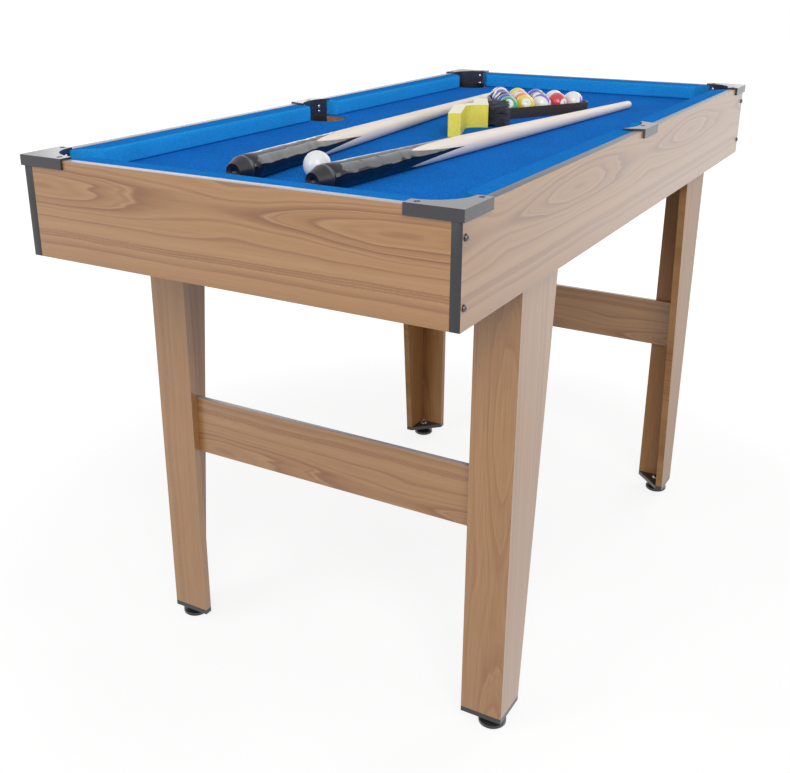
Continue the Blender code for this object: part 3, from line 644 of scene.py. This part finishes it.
for end, sy in ENDS:
    cushion(f"cushion_pad_{end}", (-END_NOSE, sy * NOSE_Y), (END_NOSE, sy * NOSE_Y), (END_BACK, sy * BACK_Y),
            (-END_BACK, sy * BACK_Y), f"cushion_{end}", cushion_felt)
    for side, sx in SIDES:
        (nose_low, nose_high), (back_low, back_high) = SIDE_NOSE, SIDE_BACK
        cushion(f"cushion_pad_{side}_{end}", (sx * NOSE_X, sy * nose_low), (sx * NOSE_X, sy * nose_high),
                (sx * BACK_X, sy * back_high), (sx * BACK_X, sy * back_low), f"cushion_{side}_{end}",
                left_lit_felt if sx < 0 else cushion_felt)

# Fasteners: panel bolts, cap screws and liner screws
bolt_mesh = fastener("panel_bolt", [(0.0042, 0.0), (0.0042, 0.0005), (0.0036, 0.0006), (0.0036, 0.0012),
                                    (0.0030, 0.0021), (0.0021, 0.0025)], hexagon(0.0015), 0.0012, black_steel)
cap_mesh = fastener("cap_screw", [(0.0030, -0.0012), (0.0034, -0.0002), (0.0034, 0.0001), (0.0030, 0.0002)],
                    cross(0.0044, 0.0013), 0.0011, screw_black)
liner_mesh = fastener("liner_screw", [(0.0026, 0.0), (0.0026, 0.0004), (0.0021, 0.0011), (0.0015, 0.0013)],
                      cross(0.0022, 0.0006), 0.0006, zinc)
UP = (0, 0, 1)
BOLT_Y, BOLT_LEVELS = 0.600, (("low", 0.6685), ("high", 0.7403))
CAP_SCREWS = (("a", (0.243, 0.600), 0.5), ("b", (0.290, 0.550), 1.1))
MIDDLE_SCREW_X = 0.2865
# Liners: the middle and radius of their curve, the turns at which they are screwed, in degrees, and the levels
CORNER_LINER, CORNER_LINER_R, CORNER_TURNS = (0.2335, 0.5435), 0.0487, (12.5, 77.5)
CORNER_LEVELS = (("low", 0.7454), ("high", 0.7605))
SIDE_LINER_OUT, SIDE_LINER_R, SIDE_TURN = 0.2822, 0.0788, 15.4
SIDE_LEVELS = (("low", 0.7496), ("high", 0.7579))
SCREW_ROLL, BOLT_ROLL, MIDDLE_ROLL = 0.3, 0.4, 0.8


def liner_screws(name, centre, radius, turn, sx, sy, levels):
    """Two screws, one over the other, on a liner's curve and pointing at its middle."""
    c, s = math.cos(math.radians(turn)), math.sin(math.radians(turn))
    for level, z in levels:
        put(f"{name}_{level}", liner_mesh, "table",
            place=facing((sx * (centre[0] + radius * c), sy * (centre[1] + radius * s), z),
                         (-sx * c, -sy * s, 0), SCREW_ROLL))


for side, sx in SIDES:
    for end, sy in ENDS:
        for level, z in BOLT_LEVELS:
            put(f"panel_bolt_{side}_{end}_{level}", bolt_mesh, "table",
                place=facing((sx * PANEL_X, sy * BOLT_Y, z), (sx, 0, 0), BOLT_ROLL))
        for letter, (x, y), roll in CAP_SCREWS:
            put(f"cap_screw_{letter}_{side}_{end}", cap_mesh, "table",
                place=facing((sx * x, sy * y, CAP_TOP), UP, roll))
        for turn in CORNER_TURNS:
            liner_screws(f"liner_screw_{side}_{end}_{int(turn)}", CORNER_LINER, CORNER_LINER_R, turn, sx, sy,
                         CORNER_LEVELS)
    put(f"cap_screw_{side}_middle", cap_mesh, "table",
        place=facing((sx * MIDDLE_SCREW_X, 0.0, CAP_TOP), UP, MIDDLE_ROLL))
    for letter, sy in (("a", -1), ("b", 1)):
        liner_screws(f"liner_screw_{side}_middle_{letter}", (SIDE_LINER_OUT - SIDE_LINER_R, 0.0), SIDE_LINER_R,
                     SIDE_TURN, sx, sy, SIDE_LEVELS)

# Threaded inserts that the levelling feet screw into
INSERT = [(0.0044, 0.0), (0.0092, 0.0), (0.0092, 0.0010), (0.0062, 0.0014), (0.0058, 0.0021), (0.0048, 0.0023),
          (0.0044, 0.0019), (0.0044, 0.0)]
for side, sx in SIDES:
    for end, sy in ENDS:
        piece(f"insert_{side}_{end}", turned(INSERT, facets=28), zinc, "table",
              place=Matrix.Translation((sx * FOOT_X, sy * FOOT_Y, PLATE_TOP)))

# Cues: the shaft with its splice, and the rubber bumper with its hollow
CUE_LENGTH, CUE_BUTT, CUE_TIP = 0.883, 0.0163, 0.0065
CUE_TAPER_END, CUE_STEPS = CUE_LENGTH - 0.0033, 40
CUE_BUTT_Y = -0.4998
CUES = (("left", -0.0445, 4.75), ("right", 0.0705, -5.02))
SHAFT = [(0.0, 0.0), (CUE_BUTT - 0.0006, 0.0), (CUE_BUTT - 0.0001, 0.0005)]
SHAFT += [(CUE_BUTT + (CUE_TIP - CUE_BUTT) * i / CUE_STEPS, CUE_TAPER_END * i / CUE_STEPS)
          for i in range(1, CUE_STEPS + 1)]
SHAFT += [(CUE_TIP * 0.93, CUE_LENGTH - 0.0019), (CUE_TIP * 0.78, CUE_LENGTH - 0.0008),
          (CUE_TIP * 0.5, CUE_LENGTH - 0.0001), (0.0, CUE_LENGTH)]
BUMPER = [(0.0, -0.0004), (0.0155, -0.0004), (0.0159, -0.0008), (0.0159, -0.0066), (0.0157, -0.0073),
          (0.0104, -0.0222), (0.0101, -0.0229), (0.0097, -0.0233), (0.0092, -0.0234), (0.0088, -0.0232),
          (0.0085, -0.0226), (0.0082, -0.0223), (0.0046, -0.0222), (0.0042, -0.0219), (0.0040, -0.0212),
          (0.0038, -0.0192), (0.0, -0.0190)]
lean = math.asin((CUE_BUTT - CUE_TIP) / CUE_LENGTH)
spliced = cue_wood("cue_wood")
for side, x, turn in CUES:
    place = Matrix.Translation((x, CUE_BUTT_Y, PLAY_Z + CUE_BUTT * math.cos(lean)))
    place = place @ Euler((-math.pi / 2 - lean, 0, math.radians(turn))).to_matrix().to_4x4()
    piece(f"cue_shaft_{side}", turned(SHAFT, facets=48), spliced, f"cue_{side}_set", replaces=[f"cue_{side}"],
          place=place)
    piece(f"cue_butt_rubber_{side}", turned(BUMPER, facets=40), bumper_rubber, f"cue_{side}_set",
          replaces=[f"cue_bumper_{side}"], place=place)

# Balls: the white cue ball and the numbered set, each turned as it lies
YELLOW, BLUE, RED, PURPLE = (0.80, 0.62, 0.04), (0.05, 0.07, 0.50), (0.60, 0.035, 0.055), (0.17, 0.09, 0.50)
ORANGE, GREEN, MAROON = (0.76, 0.27, 0.09), (0.02, 0.34, 0.13), (0.19, 0.035, 0.05)
FOREST, PLUM = (0.02, 0.035, 0.03), (0.22, 0.09, 0.42)
SET = {1: (YELLOW, False), 2: (BLUE, False), 3: (RED, False), 4: (PURPLE, False), 5: (ORANGE, False),
       6: (GREEN, False), 7: (MAROON, False), 8: (INK, False), 9: (YELLOW, True), 10: (BLUE, True),
       11: (RED, True), 12: (PURPLE, True), 13: (ORANGE, True), 14: (FOREST, True), 15: (PLUM, True)}
CUE_BALL_X, CUE_BALL_Y = 0.0216, -0.4415
RACK_X, RACK_BACK_Y, RACK_ROWS = 0.0065, 0.2867, 5
FIGURE_SIZE, FIGURE_LIFT, FIGURE_EDGE = 0.0076, 0.00004, 0.0012
ink = moulded("number_ink", INK, 0.3, grain=900.0, depth=0.00002, scuff=0.1)
# Directions along the rack as it is looked at: across, towards the front right, and up
RACK_AXES = Matrix(((0.93, 0.367, 0.0), (0.365, -0.924, 0.122), (-0.045, 0.113, 0.993))).transposed()
# For each place in the rack: the number there, and the ways its disc and its white side (or any side) point
LIE = {1: (6, (0.08, 0.93, 0.33), (1, 0, 0)), 2: (2, (-0.6, -0.3, 0.6), (1, 0, 0)),
       3: (1, (0.16, 0.93, 0.32), (1, 0, 0)), 4: (8, (-0.7, 0.2, 0.7), (0, 1, 0)),
       5: (5, (-0.5, -0.5, 0.6), (1, 0, 0)), 6: (12, (-0.9, -0.24, 0.0), (-0.26, 0.93, -0.24)),
       7: (4, (-0.8, 0.2, 0.5), (0.3, 0.9, 0.1)), 8: (13, (-0.5, 0.1, 0.7), (0.30, 0.82, -0.48)),
       9: (7, (-0.2, 0.75, 0.60), (1, 0, 0)), 10: (3, (0.70, 0.70, -0.02), (0, 0, 1)),
       11: (14, (-0.6, 0.2, 0.6), (0.60, 0.78, -0.10)), 12: (9, (-0.9, 0.0, 0.3), (0.25, 0.75, -0.55)),
       13: (10, (0.75, 0.0, 0.66), (0.32, 0.84, -0.42)), 14: (11, (1.0, 0.0, 0.0), (0.0, 0.93, 0.36)),
       15: (15, (-0.7, 0.0, -0.7), (-0.32, 0.88, 0.32))}


def digits(number):
    """The number as thin ink laid on the ball, on both discs."""
    curve = bpy.data.curves.new("figure", "FONT")
    curve.body = str(number)
    curve.align_x = "CENTER"
    curve.align_y = "CENTER"
    curve.size = FIGURE_SIZE
    temporary = bpy.data.objects.new("figure", curve)
    bm = bmesh.new()
    bm.from_mesh(temporary.to_mesh())
    temporary.to_mesh_clear()
    bpy.data.objects.remove(temporary)
    bpy.data.curves.remove(curve)
    bmesh.ops.triangulate(bm, faces=bm.faces[:])
    for _ in range(3):
        long = [edge for edge in bm.edges if edge.calc_length() > FIGURE_EDGE]
        if long:
            bmesh.ops.subdivide_edges(bm, edges=long, cuts=1)
            bmesh.ops.triangulate(bm, faces=bm.faces[:])
    first = bm.verts[:]
    copied = bmesh.ops.duplicate(bm, geom=bm.verts[:] + bm.edges[:] + bm.faces[:])["geom"]
    second = [item for item in copied if isinstance(item, bmesh.types.BMVert)]
    for verts, way in ((first, 1), (second, -1)):
        for vert in verts:
            x, y = vert.co.x, vert.co.y
            height = math.sqrt(BALL_R ** 2 - x * x - y * y)
            vert.co = Vector((way * x, y, way * height)) * (1 + FIGURE_LIFT / BALL_R)
    return bm


def lying(disc, white_side):
    """The turn that points a ball's disc and its white side the given ways."""
    z = (RACK_AXES @ Vector(disc)).normalized()
    y = RACK_AXES @ Vector(white_side)
    y = (y - z * y.dot(z)).normalized()
    return Matrix((y.cross(z), y, z)).transposed()


def ball(name, place, material, body):
    bm = bmesh.new()
    bmesh.ops.create_icosphere(bm, subdivisions=4, radius=BALL_R)
    piece(f"{name}_resin", bm, material, body, replaces=[name], place=place)


plain = cast("cue_ball_resin", (0.69, 0.69, 0.70))
ball("cue_ball", Matrix.Translation((CUE_BALL_X, CUE_BALL_Y, PLAY_Z + BALL_R)), plain, "cue_ball_body")
row_step = BALL_PITCH * math.sin(math.radians(60))
spots = [(row, index) for row in range(RACK_ROWS) for index in range(row + 1)]
for count, (row, index) in enumerate(spots, 1):
    number, disc, white_side = LIE[count]
    turn = lying(disc, white_side)
    place = Matrix.Translation((RACK_X + (index - row / 2) * BALL_PITCH,
                                RACK_BACK_Y - (RACK_ROWS - 1 - row) * row_step, PLAY_Z + BALL_R))
    resin = ball_resin(f"ball_resin_{count:02d}", *SET[number], turn)
    ball(f"ball_{count:02d}", place, resin, "object_balls")
    figure = digits(number)
    bmesh.ops.transform(figure, matrix=turn.to_4x4(), verts=figure.verts)
    piece(f"ball_figure_{count:02d}", figure, ink, "object_balls", place=place)

# Brush: painted handle, and ragged bristles that splay from the seat, in the brush's own frame
# The second colour is the painted highlight laid on the handle's top
dress("brush_handle", lacquered("brush_paint", (0.76, 0.665, 0.090), (0.82, 0.80, 0.62)))
BRUSH_X, BRUSH_Y, BRUSH_TURN = 0.0127, -0.0737, 26.0
HAIR_COLUMNS, HAIR_ROWS, HAIR_LENGTH = 46, 22, 0.031
HAIR_RADII, HAIR_CORNERS = (0.00042, 0.00038, 0.00026), (0.5, 2.594, 4.689)
HAIR_LOW, HAIR_HIGH = 0.0006, 0.0345
ROOT_X, SEAT_X = 0.0615, 0.063
SEAT_Y, SEAT_WIDE, SEAT_MID_Y, SEAT_HALF_Y = 0.1025, 0.0757, 0.1404, 0.0379
SEAT_Z, SEAT_TALL, SEAT_MID_Z, SEAT_HALF_Z = 0.0036, 0.0278, 0.0175, 0.0139
SPLAY_Y, SPLAY_Z, STRAY_Y, STRAY_Z, CURL = 0.0040, 0.0022, 0.0052, 0.0036, 0.0016
random.seed(11)
strands = bmesh.new()
for column in range(HAIR_COLUMNS):
    for row in range(HAIR_ROWS):
        y0 = SEAT_Y + SEAT_WIDE * (column + 0.5 + random.uniform(-0.3, 0.3)) / HAIR_COLUMNS
        z0 = SEAT_Z + SEAT_TALL * (row + 0.5 + random.uniform(-0.3, 0.3)) / HAIR_ROWS
        lean_y = SPLAY_Y * (y0 - SEAT_MID_Y) / SEAT_HALF_Y + random.uniform(-STRAY_Y, STRAY_Y)
        lean_z = SPLAY_Z * (z0 - SEAT_MID_Z) / SEAT_HALF_Z + random.uniform(-STRAY_Z, STRAY_Z)
        reach = HAIR_LENGTH * (0.92 + random.uniform(-0.26, 0.24))
        curl = random.uniform(-CURL, CURL)
        path = [Vector((ROOT_X, y0, z0)),
                Vector((SEAT_X + reach * 0.45, y0 + lean_y * 0.35 + curl, z0 + lean_z * 0.35)),
                Vector((SEAT_X + reach, y0 + lean_y, min(HAIR_HIGH, max(HAIR_LOW, z0 + lean_z))))]
        rows = [lay(strands, [spot + Vector((0, math.cos(a), math.sin(a))) * r for a in HAIR_CORNERS])
                for spot, r in zip(path, HAIR_RADII)]
        skin(strands, rows)
        strands.faces.new(rows[0])
        strands.faces.new(rows[-1])
brush_place = Matrix.Translation((BRUSH_X, BRUSH_Y, PLAY_Z)) @ Matrix.Rotation(math.radians(BRUSH_TURN), 4, "Z")
piece("brush_hair", strands, hair("brush_bristle", (0.056, 0.061, 0.076)), "brush", replaces=["brush_bristles"],
      place=brush_place)

# Floor: pale and catching the shadow where it is seen, plain and darker where it only throws light back
FLOOR_HALF, FLOOR_Z = 14.0, -0.0003
FLOOR_TONES, FLOOR_BOUNCE = ((0.180, 0.180, 0.180), (0.190, 0.190, 0.190)), (0.24, 0.24, 0.24, 1.0)
GLOW_FROM, GLOW_TO, GLOW_NEAR, GLOW_FAR = 0.65, 1.5, 0.82, 1.0
DOME_LEVEL = 0.40
white = new_finish("pale_floor")
mottle = white.span(white.noise(white.place(), 3.0), 0.3, 0.7)
far = white.node("VectorMath", {0: white.place()}, operation="LENGTH").outputs["Value"]
lit = white.node("BsdfDiffuse", {"Color": white.mix(mottle, *FLOOR_TONES)})
level = white.span(far, GLOW_FROM, GLOW_TO, GLOW_NEAR, GLOW_FAR)
glow = white.node("Emission", {"Color": WHITE, "Strength": level})
both = white.node("AddShader", {0: lit.outputs[0], 1: glow.outputs[0]})
dim = white.node("BsdfDiffuse", {"Color": FLOOR_BOUNCE})
surface = white.node("MixShader", {0: white.shown(), 1: dim.outputs[0], 2: both.outputs[0]})
white.feed(white.tree.nodes["Material Output"].inputs["Surface"], surface.outputs[0])
bm = bmesh.new()
bmesh.ops.create_grid(bm, x_segments=2, y_segments=2, size=FLOOR_HALF)
floor = bpy.data.objects.new("floor", to_mesh("floor", bm, white.owner))
floor.location = (0, 0, FLOOR_Z)
bpy.context.scene.collection.objects.link(floor)

# Backdrop: white where it is seen, a dimmer dome of light for the rest
studio = bpy.data.worlds.new("studio")
bpy.context.scene.world = studio
sky = Graph(studio)
sky.tree.nodes.clear()
dome = sky.node("Background", {"Color": WHITE, "Strength": DOME_LEVEL})
backdrop = sky.node("Background", {"Color": WHITE})
mixed = sky.node("MixShader", {0: sky.shown(), 1: dome.outputs[0], 2: backdrop.outputs[0]})
sky.node("OutputWorld", {0: mixed.outputs[0]})

# Lamps: place, aim, width, height and power in watts
LAMPS = (("key", (2.0, -3.0, 2.9), (0, 0, 0.6), 2.4, 2.4, 96.0),
         ("side", (3.2, -0.2, 1.5), (0, 0, 0.7), 2.0, 1.4, 17.0),
         ("fill", (-1.6, -3.2, 2.0), (0, 0, 0.6), 2.0, 2.0, 41.0),
         ("back", (1.2, 3.6, 2.3), (0, 0, 0.75), 3.8, 3.0, 54.0),
         ("rim", (-2.8, 2.9, 1.45), (0, 0, 0.75), 1.8, 0.8, 5.0))
for name, spot, aim, wide, high, power in LAMPS:
    light = bpy.data.lights.new(name, "AREA")
    light.shape = "RECTANGLE"
    light.size = wide
    light.size_y = high
    light.energy = power
    lamp = bpy.data.objects.new(name, light)
    lamp.location = spot
    lamp.rotation_euler = (Vector(aim) - Vector(spot)).to_track_quat("-Z", "Y").to_euler()
    bpy.context.scene.collection.objects.link(lamp)

# Camera: angles in radians, the focal length and the middle of the picture in pixels
YAW, PITCH, FOCAL_PX = 0.52613, -0.36749, 1038.06
WIDTH_PX, HEIGHT_PX, CENTRE_U, CENTRE_V = 790, 773, 379.82, 359.40
EYE, SENSOR_MM, CLIP_END = (0.71619, -1.48711, 0.99062), 36.0, 60.0
ahead = Vector((-math.sin(YAW) * math.cos(PITCH), math.cos(YAW) * math.cos(PITCH), math.sin(PITCH)))
right = Vector((math.cos(YAW), math.sin(YAW), 0.0))
pose = Matrix((right, right.cross(ahead), -ahead)).transposed().to_4x4()
pose.translation = EYE
view = bpy.data.cameras.new("view")
view.sensor_fit = "HORIZONTAL"
view.sensor_width = SENSOR_MM
view.lens = FOCAL_PX / WIDTH_PX * SENSOR_MM
view.shift_x = (WIDTH_PX / 2 - CENTRE_U) / WIDTH_PX
view.shift_y = (CENTRE_V - HEIGHT_PX / 2) / WIDTH_PX
view.clip_end = CLIP_END
camera = bpy.data.objects.new("view", view)
camera.matrix_world = pose
bpy.context.scene.collection.objects.link(camera)
bpy.context.scene.camera = camera
bpy.context.scene.view_settings.view_transform = "Standard"
